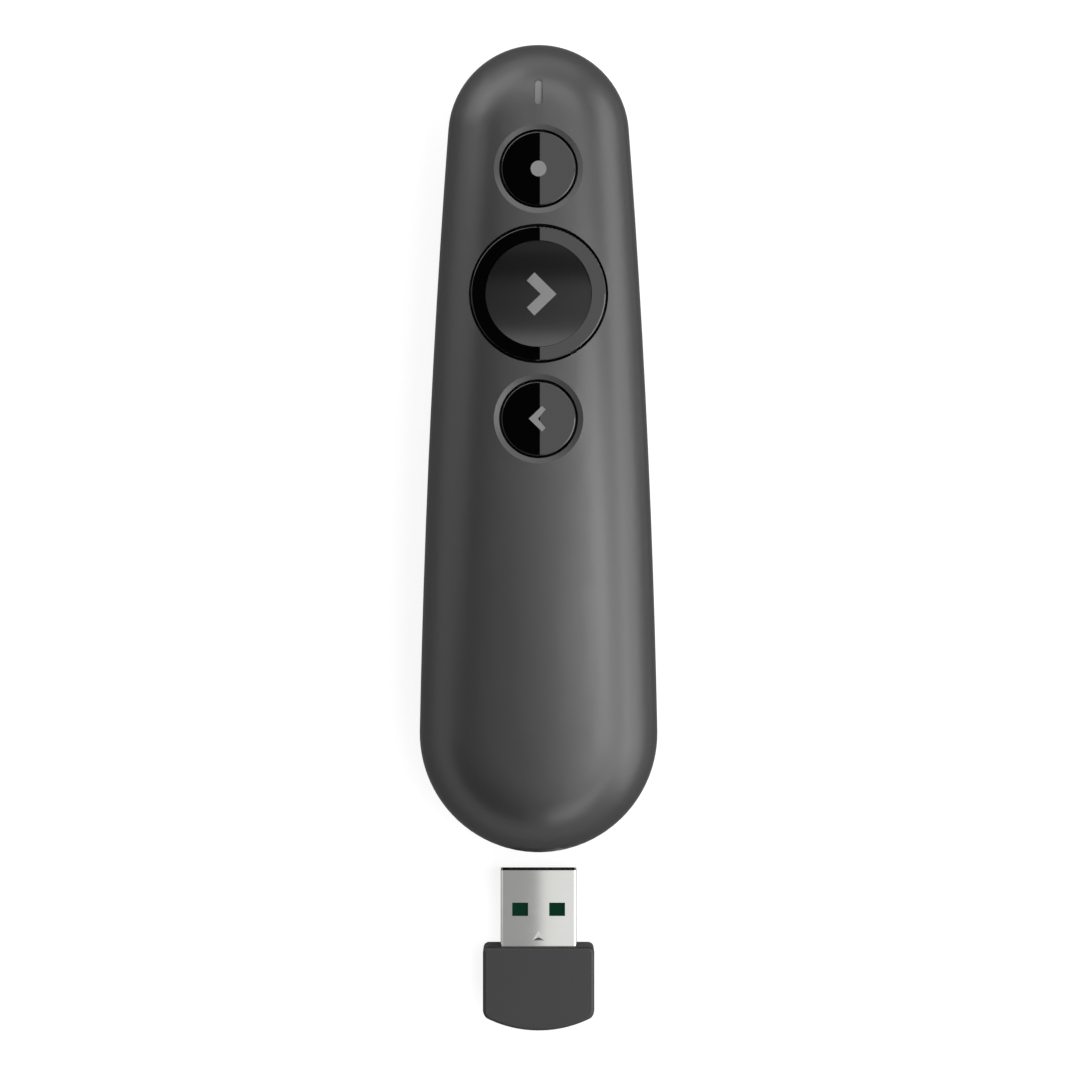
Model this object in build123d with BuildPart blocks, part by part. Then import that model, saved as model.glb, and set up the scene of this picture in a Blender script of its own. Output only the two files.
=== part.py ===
from build123d import *

import math
import os

# Wireless presentation clicker: a palm-sized handset with three press buttons, a laser pointer in
# its nose, one cell under a hinged door, and a USB receiver that stows in a dock in its tail.
#
# Frame, in millimetres: X is across and X = 0 is the plane of symmetry. +Y runs to the nose and
# Y = 0 is the axis of the large button. +Z is up and Z = 0 is the table that everything lies on.

# ---- Driving dimensions: handset form ----
body_length = 124.5
nose_reach = 38.8            # large button's axis to the tip of the nose
nose_radius = 13.95          # plan arc of the nose
tail_radius = 18.4           # plan arc of the tail
side_radius = 1800.0         # slow plan arc of each side
crown_height = 24.5          # highest point of the top face
crown_peak_y = -8.0
arch_radius = 900.0          # top face, lengthwise
cross_radius = 95.0          # top face, crosswise
shoulder_width = 11.0        # zone along the edge over which the top face falls away
shoulder_drop = 4.6          # how far it has fallen at the edge
shoulder_power = 3           # how softly the fall begins
crown_columns, crown_rows = 31, 91  # grid of points that the top face is passed through
top_round = 3.5
underside_round = 6.5
flat_end_y = 4.0             # the underside lifts from here to the nose
lift_radius = 140.0
wall = 2.0
parting_height = 11.2        # parting line at Y = 0
parting_slope = 0.02
lip_width = 0.9
lip_height = 1.2
groove_depth = 0.3           # shadow line along the parting
groove_height = 0.2
fit_gap = 0.1                # between parts that locate each other

# ---- Driving dimensions: buttons ----
button_pitch = 19.0
small_hole_radius = 6.0
large_hole_radius = 10.6
button_gap = 0.35            # cap to hole, all round
small_sink = 0.15            # cap face below the crown
large_sink = 0.35
small_seat_depth = 2.6       # crown to the seat that the retaining tabs bear on
large_seat_depth = 3.1
large_post_length = 1.9      # large button's post, from its plate to the plunger
seat_width = 1.2
seat_margin = 1.0            # seat beyond the tab, each side
stop_gap = 0.05
button_travel = 0.5
tab_reach = 0.9
tab_thickness = 1.0
tab_width = 7.0
cap_plate = 1.2
skirt_wall = 1.2
post_radius = 1.6
rim_width = 0.8              # shallow bevel round each small hole
rim_depth = 0.15
cap_edge = 0.2
pad_radius = 8.1
pad_pocket = 1.5
pad_dish = 0.8               # depth of the finger scoop, which is curved along Y
pad_fit = 0.05

# ---- Driving dimensions: board and its parts ----
board_lift = 1.35            # cell to the board
board_thickness = 1.2
board_width = 22.4
board_nose_setback = 4.4     # slot's centre to the board's nose edge
board_tail_y = -31.0
board_corner = 1.0
switch_size = 6.0
switch_floor = 0.4
plunger_radius = 1.7
plunger_stand = 0.8          # plunger above the switch body
running_gap = 0.08
chip_size = 5.0
chip_height = 0.9
crystal_length, crystal_width, crystal_height = 3.2, 2.5, 0.8
antenna_length, antenna_width, antenna_height = 7.0, 2.0, 1.0
antenna_inset = 2.2          # board's tail edge to the antenna's centre
chip_y = -9.5
crystal_x = 6.0
led_length, led_width, led_height = 1.6, 0.8, 0.7
led_inset = 0.8              # board's nose edge to the indicator's centre

# ---- Driving dimensions: indicator slot and light pipe ----
slot_setback = 1.2           # slot behind the middle of the land between button and nose
slot_length = 3.8
slot_width = 1.2
pipe_fit = 0.04
pipe_sink = 0.15
pipe_flange = 1.0
pipe_flange_margin = 0.7
pipe_flange_drop = 0.35      # flange below the inside of the crown
pipe_leg_width = 2.0
pipe_foot = 1.2
pipe_foot_gap = 0.4

# ---- Driving dimensions: laser ----
laser_drop = 2.3             # board's upper face to the laser's axis
barrel_radius = 3.5
barrel_rear_gap = 0.3        # board to the barrel
barrel_bore = 2.8
barrel_front_gap = 0.5       # barrel to the window
window_radius = 2.8
window_thickness = 1.75
window_setback = 0.45
lens_thickness = 1.2
lens_setback = 0.6
lens_radius_of_curvature = 6.0
aperture_radius = 1.2
aperture_thickness = 0.5
diode_flange = 0.8
diode_can_radius = 1.9
diode_can_length = 2.2
lead_radius = 0.2
lead_spread = 1.27
lead_overlap = 0.9           # length of each lead that lies on the board
rib_width = 1.2
rib_half = 5.0
rear_rib_gap = 1.7           # board to the rear rib's middle
front_rib_setback = 4.8      # tip of the nose to the front rib's middle

# ---- Driving dimensions: cell, its bay and door ----
cell_radius = 5.25
cell_length = 44.5
cell_nub_radius = 1.9
cell_nub_length = 1.0
cell_edge = 0.5
cell_lift = 0.4              # door to the cell
cell_side_gap = 0.3
spring_length = 3.6
spring_turns = 3
spring_wire = 0.3            # radius
spring_radius = 3.0
plate_thickness = 0.4
plate_half_width = 4.6
plate_lift = 1.2             # contact plate's lower edge above the cell's underside
strip_height = 3.0
strip_tab = 1.5
bay_wall = 1.0
bay_side_wall = 1.2
bay_wall_rise = 1.6          # bay walls above the cell's axis
bay_flange = 1.2
bay_flange_reach = 1.7
door_thickness = 1.6
door_half_width = 7.5
door_recess = 0.15
door_gap = 0.2
door_headroom = 0.1
hinge_setback = 2.4          # hinge axis beyond the bay's nose wall
hinge_pin_radius = 0.5
hinge_pin_length = 1.2
hinge_pin_gap = 0.06
grip_length = 7.0            # finger grip at the door's tail end
grip_width = 0.7
grip_depth = 0.3
grip_pitch = 1.5
grip_count = 3

# ---- Driving dimensions: screws ----
screw_radius = 1.0
screw_head_radius = 1.9
screw_head_height = 1.3
screw_hole_radius = 1.15
screw_recess = 0.35          # half width of the cross recess's arms
screw_recess_depth = 0.7
counterbore_radius = 2.1
pillar_radius = 2.9
boss_radius = 2.2
head_seat_height = 4.0
front_screw_x, front_screw_y = 9.0, 12.5
rear_screw_x, rear_screw_y = 12.2, -50.0
board_screw_x, board_screw_y = 9.3, -27.0
front_screw_length = 15.5
rear_screw_length = 12.0
board_screw_length = 5.0

# ---- Driving dimensions: receiver and its dock ----
plug_length = 12.0
plug_width = 12.0
plug_height = 4.5
plug_sheet = 0.3
plug_corner = 0.35
plug_buried = 4.0            # length of the plug shell inside the cap
cap_length = 13.2
cap_width = 17.6
cap_height = 6.3
cap_edge_round = 0.5
cap_corner_round = 0.9
cap_tail_round = 1.8
cap_pocket = 7.5             # depth of the pocket behind the plug
cap_board_pocket = 10.5      # depth of the slot for the board above it
receiver_gap = 3.9           # tail of the handset to the tip of the plug
dock_clearance = 0.25
dock_wall = 1.1
window_from_tip = 5.1
plug_window_length = 2.1
plug_window_width = 2.5
plug_window_centre = 2.92
dimple_from_tip = 9.6
dimple_size = 1.9
dimple_depth = 0.25
dimple_taper = 60.0          # slope of its sides
tongue_thickness = 1.9
tongue_setback = 0.6
tongue_end_gap = 0.2
tongue_side_gap = 0.2
contact_length = 7.4
contact_width = 1.0
contact_thickness = 0.1
contact_inner, contact_outer = 1.0, 3.5
receiver_chip_size = 4.0
receiver_chip_height = 0.9
receiver_chip_depth = 5.0    # chip's centre behind the cap's front face

# ---- Worked-out places ----
tail_end_y = nose_reach - body_length
laser_button_y = button_pitch
back_button_y = -button_pitch
docked_shoulder_y = tail_end_y + cap_length
docked_tip_y = docked_shoulder_y + plug_length
dock_pocket_end_y = docked_tip_y + dock_clearance
dock_front_y = dock_pocket_end_y + dock_wall
receiver_travel = docked_tip_y - (tail_end_y - receiver_gap)
bay_tail_y = dock_front_y + bay_wall
cell_tail_y = bay_tail_y + plate_thickness + spring_length
cell_nose_y = cell_tail_y + cell_length
bay_nose_y = cell_nose_y + plate_thickness
door_top = door_recess + door_thickness
ledge_height = door_top + door_headroom
cell_height = door_top + cell_lift + cell_radius
bay_top = cell_height + bay_wall_rise
bay_half_width = cell_radius + cell_side_gap
board_underside = cell_height + cell_radius + board_lift
board_top = board_underside + board_thickness
laser_height = board_top - laser_drop
slot_y = (laser_button_y + small_hole_radius + nose_reach) / 2 - slot_setback
board_nose_y = slot_y - board_nose_setback
rear_rib_y = board_nose_y + rear_rib_gap
front_rib_y = nose_reach - front_rib_setback
hinge_y = bay_nose_y + hinge_setback
hinge_height = door_recess + door_thickness / 2
plug_underside = (cap_height - plug_height) / 2


# Plan outline, on its +X side: the arcs' centres, and the directions from the side arc's centre in
# which it meets the nose arc and the tail arc.
nose_centre_y = nose_reach - nose_radius
tail_centre_y = tail_end_y + tail_radius
centre_span = nose_centre_y - tail_centre_y
side_to_nose, side_to_tail = side_radius - nose_radius, side_radius - tail_radius
side_to_nose_y = (side_to_nose**2 - side_to_tail**2 + centre_span**2) / (2 * centre_span)
side_centre_x = -math.sqrt(side_to_nose**2 - side_to_nose_y**2)
side_centre_y = nose_centre_y - side_to_nose_y
nose_angle = math.degrees(math.atan2(nose_centre_y - side_centre_y, -side_centre_x))
tail_angle = math.degrees(math.atan2(tail_centre_y - side_centre_y, -side_centre_x))


def body_outline(inset):
    """Plan outline moved in by inset: nose, side and tail arcs, each tangent to the next."""
    nose_r, tail_r, side_r = nose_radius - inset, tail_radius - inset, side_radius - inset
    side_turn = nose_angle - tail_angle
    with BuildSketch() as plan:
        with BuildLine():
            CenterArc((0, nose_centre_y), nose_r, nose_angle, 180 - 2 * nose_angle)
            CenterArc((side_centre_x, side_centre_y), side_r, tail_angle, side_turn)
            CenterArc((-side_centre_x, side_centre_y), side_r, 180 - nose_angle, side_turn)
            CenterArc((0, tail_centre_y), tail_r, 180 - tail_angle, 180 + 2 * tail_angle)
        make_face()
    return plan.sketch


def edge_depth(x, y):
    """Distance in from the plan outline."""
    side_x = abs(x) - side_centre_x
    bearing = math.degrees(math.atan2(y - side_centre_y, side_x))
    if bearing > nose_angle:
        return nose_radius - math.hypot(x, y - nose_centre_y)
    if bearing < tail_angle:
        return tail_radius - math.hypot(x, y - tail_centre_y)
    return side_radius - math.hypot(side_x, y - side_centre_y)


def face_z(x, y):
    """Height of the top face: an arch along, an arc across and a soft fall towards the edge."""
    arch = arch_radius - math.sqrt(arch_radius**2 - (y - crown_peak_y) ** 2)
    across = cross_radius - math.sqrt(cross_radius**2 - x**2)
    fall = max(0, 1 - edge_depth(x, y) / shoulder_width)
    return crown_height - arch - across - shoulder_drop * fall**shoulder_power


def crown_z(y):
    """Height of the top face over the centre line."""
    return face_z(0, y)


def face_point(x, y, inset):
    """Point of the top face, moved in along its normal by inset."""
    step = fit_gap
    slope_x = (face_z(x + step, y) - face_z(x - step, y)) / (2 * step)
    slope_y = (face_z(x, y + step) - face_z(x, y - step)) / (2 * step)
    return Vector(x, y, face_z(x, y)) - inset * Vector(-slope_x, -slope_y, 1).normalized()


def crown_form(inset):
    """Everything under the top face, which runs past the outline by a wall all round."""
    half_width = tail_radius + wall
    length = body_length + 2 * wall
    across = [half_width * (2 * column / (crown_columns - 1) - 1) for column in range(crown_columns)]
    along = [tail_end_y - wall + length * row / (crown_rows - 1) for row in range(crown_rows)]
    points = [[face_point(x, y, inset) for y in along] for x in across]
    top_face = Face.make_surface_from_array_of_points(points, tol=0.005, min_deg=3, max_deg=5)
    with BuildPart() as crown:
        extrude(top_face, amount=3 * crown_height, dir=(0, 0, -1))
    return crown.part


def underside_form(inset):
    """Everything over the underside: flat from the tail, then an arc that lifts to the nose."""
    lift_r = lift_radius - inset
    end_angle = math.asin((nose_reach + wall - flat_end_y) / lift_r)
    end = (flat_end_y + lift_r * math.sin(end_angle), lift_radius - lift_r * math.cos(end_angle))
    middle = (
        flat_end_y + lift_r * math.sin(end_angle / 2),
        lift_radius - lift_r * math.cos(end_angle / 2),
    )
    with BuildPart() as above:
        with BuildSketch(Plane.YZ):
            with BuildLine():
                Line((tail_end_y - wall, inset), (flat_end_y, inset))
                ThreePointArc((flat_end_y, inset), middle, end)
                Polyline(
                    end,
                    (end[0], 2 * crown_height),
                    (tail_end_y - wall, 2 * crown_height),
                    (tail_end_y - wall, inset),
                )
            make_face()
        extrude(amount=2 * tail_radius, both=True)
    return above.part


def body_form(inset):
    """Closed handset form moved in by inset from its outer surface."""
    with BuildPart() as form:
        add(body_outline(inset))
        extrude(amount=2 * crown_height)
        add(crown_form(inset), mode=Mode.INTERSECT)
        add(underside_form(inset), mode=Mode.INTERSECT)
        fillet(form.faces().sort_by(Axis.Z)[-1].edges(), top_round - inset)
        foot = form.edges().filter_by_position(Axis.Z, -wall, parting_height - wall)
        foot_edges = foot.filter_by(Axis.X, reverse=True).filter_by(Axis.Z, reverse=True)
        fillet(foot_edges, underside_round - inset)
    return form.part


def parting_z(y):
    """Height of the parting line between the covers."""
    return parting_height + parting_slope * y


def parting_plane(lift):
    """Parting plane raised by lift."""
    return Plane(origin=(0, 0, parting_height + lift), x_dir=(1, 0, 0), z_dir=(0, -parting_slope, 1))


def parting_band(inset, low, high):
    """Prism of the plan outline between two planes parallel to the parting plane."""
    with BuildPart() as band:
        add(body_outline(inset))
        extrude(amount=2 * crown_height)
        split(bisect_by=parting_plane(low), keep=Keep.TOP)
        split(bisect_by=parting_plane(high), keep=Keep.BOTTOM)
    return band.part


def column(x, y, radius, low, high):
    """Upright cylinder from low to high."""
    with BuildPart() as upright:
        with BuildSketch(Plane.XY.offset(low)):
            with Locations((x, y)):
                Circle(radius)
        extrude(amount=high - low)
    return upright.part


def block(x_low, x_high, y_low, y_high, z_low, z_high):
    """Square block between two corners."""
    with BuildPart() as brick:
        with BuildSketch(Plane.XY.offset(z_low)):
            with Locations(((x_low + x_high) / 2, (y_low + y_high) / 2)):
                Rectangle(x_high - x_low, y_high - y_low)
        extrude(amount=z_high - z_low)
    return brick.part


def rod(x, z, radius, y_low, y_high):
    """Cylinder along Y."""
    with BuildPart() as lengthwise:
        with BuildSketch(Plane.XZ.offset(-y_high)):
            with Locations((x, z)):
                Circle(radius)
        extrude(amount=y_high - y_low)
    return lengthwise.part


def strip(y, radius, width, turn, low, high):
    """Disc on the centre line, cut to a strip, for a button's tabs and their seats."""
    with BuildPart() as cut_disc:
        with BuildSketch(Plane.XY.offset(low)):
            with Locations((0, y)):
                Rectangle(2 * radius, width, rotation=turn)
                Circle(radius, mode=Mode.INTERSECT)
        extrude(amount=high - low)
    return cut_disc.part


def write(piece, name):
    """Label a finished piece and write its STEP file."""
    piece.part.label = name
    export_step(piece.part, f"parts/{name}.step")


os.makedirs("parts", exist_ok=True)

outer_form = body_form(0)
inner_form = body_form(wall)
core_form = body_form(wall / 2)
crown_over = crown_height + wall

# ---- Buttons: place, hole, face below the crown, seat below the crown, and the way the tabs turn:
# 0 across the handset, or 90 along it, where its shoulders are too low beside the large button ----
small_button = (small_hole_radius, small_sink, small_seat_depth, 0)
buttons = {
    "laser": (laser_button_y, *small_button),
    "next": (0.0, large_hole_radius, large_sink, large_seat_depth, 90),
    "back": (back_button_y, *small_button),
}

next_face_z = crown_z(0) - large_sink
plunger_top = next_face_z - cap_plate - pad_pocket - large_post_length
switch_height = plunger_top - plunger_stand - board_top
plunger_depth = switch_height - switch_floor - button_travel - running_gap

# ---- Screw places ----
front_screws = [(-front_screw_x, front_screw_y), (front_screw_x, front_screw_y)]
rear_screws = [(-rear_screw_x, rear_screw_y), (rear_screw_x, rear_screw_y)]
board_screws_at = [(-board_screw_x, board_screw_y), (board_screw_x, board_screw_y)]
rear_mate_z = parting_z(rear_screw_y) - fit_gap
front_screw_top = head_seat_height + front_screw_length
rear_screw_top = head_seat_height + rear_screw_length
board_screw_top = board_underside + board_screw_length

# ---- Top cover ----
rib_low, rib_high = front_rib_y - rib_width / 2, front_rib_y + rib_width / 2
barrel_seat = rod(0, laser_height, barrel_radius, rear_rib_y - wall, rib_high + wall)

with BuildPart() as top_inside:
    for button_y, hole, sink, seat_depth, turn in buttons.values():
        seat_z = crown_z(button_y) - seat_depth
        add(strip(button_y, hole + seat_width, tab_width + 2 * seat_margin, turn, seat_z, crown_over))
    for x, y in front_screws + board_screws_at:
        add(column(x, y, boss_radius, board_top, crown_over))
    for x, y in rear_screws:
        add(column(x, y, boss_radius, rear_mate_z, crown_over))
    add(block(-rib_half, rib_half, rib_low, rib_high, laser_height, crown_over))
    add(core_form, mode=Mode.INTERSECT)
    add(barrel_seat, mode=Mode.SUBTRACT)

with BuildPart() as shadow_groove:
    add(parting_band(-groove_depth, -groove_height, groove_height))
    add(parting_band(groove_depth, -2 * groove_height, 2 * groove_height), mode=Mode.SUBTRACT)

with BuildPart() as top_cover:
    add(outer_form)
    split(bisect_by=parting_plane(0), keep=Keep.TOP)
    add(inner_form, mode=Mode.SUBTRACT)
    add(shadow_groove.part, mode=Mode.SUBTRACT)
    add(parting_band(wall - lip_width - fit_gap, -lip_height, lip_height + fit_gap), mode=Mode.SUBTRACT)
    add(top_inside.part)
    for button_y, hole, *_ in buttons.values():
        add(column(0, button_y, hole, board_top, crown_over), mode=Mode.SUBTRACT)
        if hole == small_hole_radius:
            rim = top_cover.edges(Select.LAST).sort_by(Axis.Z)[-1]
            bore = top_cover.faces(Select.LAST).filter_by(GeomType.CYLINDER).sort_by(Axis.Z)[-1]
            chamfer(rim, rim_depth, rim_width, reference=bore)
    for x, y in front_screws:
        add(column(x, y, screw_radius, board_top, front_screw_top + fit_gap), mode=Mode.SUBTRACT)
    for x, y in rear_screws:
        add(column(x, y, screw_radius, rear_mate_z, rear_screw_top + fit_gap), mode=Mode.SUBTRACT)
    for x, y in board_screws_at:
        add(column(x, y, screw_radius, board_top, board_screw_top + fit_gap), mode=Mode.SUBTRACT)
    with BuildSketch(Plane.XY.offset(board_top)):
        with Locations((0, slot_y)):
            SlotOverall(slot_length, slot_width, rotation=90)
    extrude(amount=crown_over, mode=Mode.SUBTRACT)
    add(rod(0, laser_height, window_radius, rib_high, nose_reach + wall), mode=Mode.SUBTRACT)
write(top_cover, "top_cover")

# ---- Bottom cover ----
dock_half_width = cap_width / 2 + dock_clearance + dock_wall
dock_top = cap_height + dock_clearance + dock_wall
dock_block = block(-dock_half_width, dock_half_width, tail_end_y - wall, dock_front_y, -wall, dock_top)
bay_out = bay_half_width + bay_side_wall
flange_half = door_half_width + bay_flange_reach
door_nose_y = hinge_y + door_thickness / 2 + door_gap
flange_nose_y = door_nose_y + bay_flange_reach
bay_flange_top = ledge_height + bay_flange
pin_tip_x = door_half_width + hinge_pin_length
pin_bore_radius = hinge_pin_radius + hinge_pin_gap
pin_bore_x = pin_tip_x + fit_gap

with BuildPart() as cover_lip:
    add(parting_band(wall - lip_width, -lip_height, lip_height))
    add(parting_band(wall, -2 * lip_height, 2 * lip_height), mode=Mode.SUBTRACT)

with BuildPart() as bottom_inside:
    add(block(-flange_half, flange_half, dock_front_y, flange_nose_y, wall / 2, bay_flange_top))
    add(block(-bay_out, bay_out, dock_front_y, bay_nose_y + bay_wall, wall / 2, bay_top))
    for x, y in front_screws:
        add(column(x, y, pillar_radius, wall / 2, board_underside))
    for x, y in rear_screws:
        add(column(x, y, pillar_radius, wall / 2, rear_mate_z))
    for rib_y in (rear_rib_y, front_rib_y):
        rib_tail_y, rib_nose_y = rib_y - rib_width / 2, rib_y + rib_width / 2
        add(block(-rib_half, rib_half, rib_tail_y, rib_nose_y, wall / 2, laser_height - fit_gap))
    add(core_form, mode=Mode.INTERSECT)
    add(barrel_seat, mode=Mode.SUBTRACT)

with BuildPart() as bottom_cover:
    add(outer_form)
    split(bisect_by=parting_plane(0), keep=Keep.BOTTOM)
    add(inner_form, mode=Mode.SUBTRACT)
    add(cover_lip.part)
    add(bottom_inside.part)
    door_side = door_half_width + door_gap
    add(block(-door_side, door_side, bay_tail_y, door_nose_y, -wall, ledge_height), mode=Mode.SUBTRACT)
    add(block(-bay_half_width, bay_half_width, bay_tail_y, bay_nose_y, -wall, crown_over),
        mode=Mode.SUBTRACT)
    add(dock_block, mode=Mode.SUBTRACT)
    for x, y in front_screws + rear_screws:
        add(column(x, y, counterbore_radius, -wall, head_seat_height), mode=Mode.SUBTRACT)
        add(column(x, y, screw_hole_radius, -wall, board_underside), mode=Mode.SUBTRACT)
    add(rod(0, laser_height, window_radius, rib_high, nose_reach + wall), mode=Mode.SUBTRACT)
    with BuildSketch(Plane.YZ):
        with Locations((hinge_y, hinge_height)):
            Circle(pin_bore_radius)
    extrude(amount=pin_bore_x, both=True, mode=Mode.SUBTRACT)
write(bottom_cover, "bottom_cover")

# ---- Receiver dock: moulded pocket in the tail, open behind and below for the cap ----
notch_half_width = cap_width / 2 + dock_clearance
plug_bay_half = plug_width / 2 + dock_clearance
plug_bay_low = plug_underside - dock_clearance
plug_bay_high = plug_underside + plug_height + dock_clearance
notch_end_y = docked_shoulder_y + dock_clearance

with BuildPart() as receiver_dock:
    add(dock_block)
    add(outer_form, mode=Mode.INTERSECT)
    add(block(-notch_half_width, notch_half_width, tail_end_y - wall, notch_end_y, -wall,
              cap_height + dock_clearance), mode=Mode.SUBTRACT)
    add(block(-plug_bay_half, plug_bay_half, tail_end_y - wall, dock_pocket_end_y, plug_bay_low,
              plug_bay_high), mode=Mode.SUBTRACT)
write(receiver_dock, "receiver_dock")

# ---- Battery door: a plate that turns on two moulded pins at its nose end ----
door_tail_y = bay_tail_y + door_gap

with BuildPart() as battery_door:
    add(block(-door_half_width, door_half_width, door_tail_y, hinge_y, door_recess, door_top))
    with BuildSketch(Plane.YZ):
        with Locations((hinge_y, hinge_height)):
            Circle(door_thickness / 2)
    extrude(amount=door_half_width, both=True)
    with BuildSketch(Plane.YZ):
        with Locations((hinge_y, hinge_height)):
            Circle(hinge_pin_radius)
    extrude(amount=pin_tip_x, both=True)
    for row in range(grip_count):
        groove_y = door_tail_y + (row + 1) * grip_pitch
        add(block(-grip_length / 2, grip_length / 2, groove_y, groove_y + grip_width, 0,
                  door_recess + grip_depth), mode=Mode.SUBTRACT)
write(battery_door, "battery_door")


# ---- Buttons: hollow caps with a post on the switch's plunger and two retaining tabs ----
def button_cup(button_y, hole, sink, seat_depth, turn, plate):
    """Hollow cap with a closed face as thick as plate."""
    face_z = crown_z(button_y) - sink
    skirt_z = crown_z(button_y) - seat_depth - stop_gap - tab_thickness
    cap_radius = hole - button_gap
    with BuildPart() as cup:
        add(column(0, button_y, cap_radius, skirt_z, face_z))
        fillet(cup.edges().group_by(Axis.Z)[-1], cap_edge)
        add(strip(button_y, hole + tab_reach, tab_width, turn, skirt_z, skirt_z + tab_thickness))
        add(column(0, button_y, cap_radius - skirt_wall, skirt_z, face_z - plate), mode=Mode.SUBTRACT)
        add(column(0, button_y, post_radius, plunger_top, face_z - plate))
    return cup.part


with BuildPart() as laser_button:
    add(button_cup(*buttons["laser"], cap_plate))
write(laser_button, "laser_button")

with BuildPart() as back_button:
    add(button_cup(*buttons["back"], cap_plate))
write(back_button, "back_button")

pad_base_z = next_face_z - pad_pocket
dish_radius = (pad_radius**2 + pad_dish**2) / (2 * pad_dish)

with BuildPart() as next_button_ring:
    add(button_cup(*buttons["next"], cap_plate + pad_pocket))
    add(column(0, 0, pad_radius, pad_base_z, crown_over), mode=Mode.SUBTRACT)
write(next_button_ring, "next_button_ring")

with BuildPart() as next_button_pad:
    add(column(0, 0, pad_radius - pad_fit, pad_base_z, next_face_z))
    with BuildSketch(Plane.YZ):
        with Locations((0, next_face_z - pad_dish + dish_radius)):
            Circle(dish_radius)
    extrude(amount=pad_radius, both=True, mode=Mode.SUBTRACT)
write(next_button_pad, "next_button_pad")

# ---- Indicator: slot-shaped light pipe down to a lamp on the board's nose edge ----
led_y = board_nose_y - led_inset
pipe_head_z = face_z(0, slot_y + slot_length / 2) - pipe_sink
flange_y = slot_length / 2 + pipe_flange_margin
flange_x = slot_width / 2 + pipe_flange_margin
pipe_flange_z = face_point(flange_x, slot_y + flange_y, wall).Z - pipe_flange_drop
pipe_low = pipe_flange_z - pipe_flange
leg_half = pipe_leg_width / 2
leg_y = led_y - pipe_foot / 2
pipe_foot_z = board_top + led_height + pipe_foot_gap

with BuildPart() as led_light_pipe:
    with BuildSketch(Plane.XY.offset(pipe_flange_z)):
        with Locations((0, slot_y)):
            SlotOverall(slot_length - 2 * pipe_fit, slot_width - 2 * pipe_fit, rotation=90)
    extrude(amount=pipe_head_z - pipe_flange_z)
    add(block(-flange_x, flange_x, slot_y - flange_y, slot_y + flange_y, pipe_low, pipe_flange_z))
    add(block(-leg_half, leg_half, leg_y, slot_y, pipe_low, pipe_flange_z))
    add(block(-leg_half, leg_half, leg_y, leg_y + pipe_foot, pipe_foot_z, pipe_flange_z))
write(led_light_pipe, "led_light_pipe")

with BuildPart() as status_led:
    add(block(-led_length / 2, led_length / 2, led_y - led_width / 2, led_y + led_width / 2, board_top,
              board_top + led_height))
write(status_led, "status_led")

# ---- Main board with its switches, radio chip, crystal and antenna ----
board_half = board_width / 2

with BuildPart() as main_board:
    add(block(-board_half, board_half, board_tail_y, board_nose_y, board_underside, board_top))
    fillet(main_board.edges().filter_by(Axis.Z), board_corner)
    for x, y in front_screws + board_screws_at:
        add(column(x, y, screw_hole_radius, 0, crown_over), mode=Mode.SUBTRACT)
write(main_board, "main_board")


def switch_body(switch_y):
    """Square tact switch with a well for its plunger."""
    half = switch_size / 2
    well_z = plunger_top - plunger_stand - plunger_depth - button_travel - running_gap
    with BuildPart() as body:
        add(block(-half, half, switch_y - half, switch_y + half, board_top, board_top + switch_height))
        add(column(0, switch_y, plunger_radius + running_gap, well_z, crown_over), mode=Mode.SUBTRACT)
    return body.part


for name, (button_y, *_) in buttons.items():
    with BuildPart() as switch:
        add(switch_body(button_y))
    write(switch, f"{name}_switch")
    with BuildPart() as plunger:
        plunger_low = plunger_top - plunger_stand - plunger_depth
        add(column(0, button_y, plunger_radius, plunger_low, plunger_top))
    write(plunger, f"{name}_plunger")

with BuildPart() as radio_chip:
    chip_half = chip_size / 2
    add(block(-chip_half, chip_half, chip_y - chip_half, chip_y + chip_half, board_top,
              board_top + chip_height))
write(radio_chip, "radio_chip")

with BuildPart() as crystal:
    add(block(crystal_x - crystal_width / 2, crystal_x + crystal_width / 2, chip_y - crystal_length / 2,
              chip_y + crystal_length / 2, board_top, board_top + crystal_height))
write(crystal, "crystal")

with BuildPart() as antenna:
    antenna_y = board_tail_y + antenna_inset
    add(block(-antenna_length / 2, antenna_length / 2, antenna_y - antenna_width / 2,
              antenna_y + antenna_width / 2, board_top, board_top + antenna_height))
write(antenna, "antenna")

# ---- Laser module: barrel with diode, lens and aperture, behind a window in the nose ----
window_front_y = nose_reach - window_setback
window_back_y = window_front_y - window_thickness
barrel_front_y = window_back_y - barrel_front_gap
barrel_rear_y = board_nose_y + barrel_rear_gap
lens_front_y = barrel_front_y - lens_setback
aperture_front_y = lens_front_y + aperture_thickness

with BuildPart() as laser_window:
    add(rod(0, laser_height, window_radius, window_back_y, window_front_y))
write(laser_window, "laser_window")

with BuildPart() as laser_barrel:
    add(rod(0, laser_height, barrel_radius, barrel_rear_y, barrel_front_y))
    add(rod(0, laser_height, barrel_bore, barrel_rear_y, barrel_front_y), mode=Mode.SUBTRACT)
write(laser_barrel, "laser_barrel")

with BuildPart() as laser_lens:
    add(rod(0, laser_height, barrel_bore, lens_front_y - lens_thickness, lens_front_y))
    with Locations((0, lens_front_y - lens_radius_of_curvature, laser_height)):
        Sphere(lens_radius_of_curvature, mode=Mode.INTERSECT)
write(laser_lens, "laser_lens")

with BuildPart() as laser_aperture:
    add(rod(0, laser_height, barrel_bore, lens_front_y, aperture_front_y))
    add(rod(0, laser_height, aperture_radius, lens_front_y, aperture_front_y), mode=Mode.SUBTRACT)
write(laser_aperture, "laser_aperture")

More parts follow.
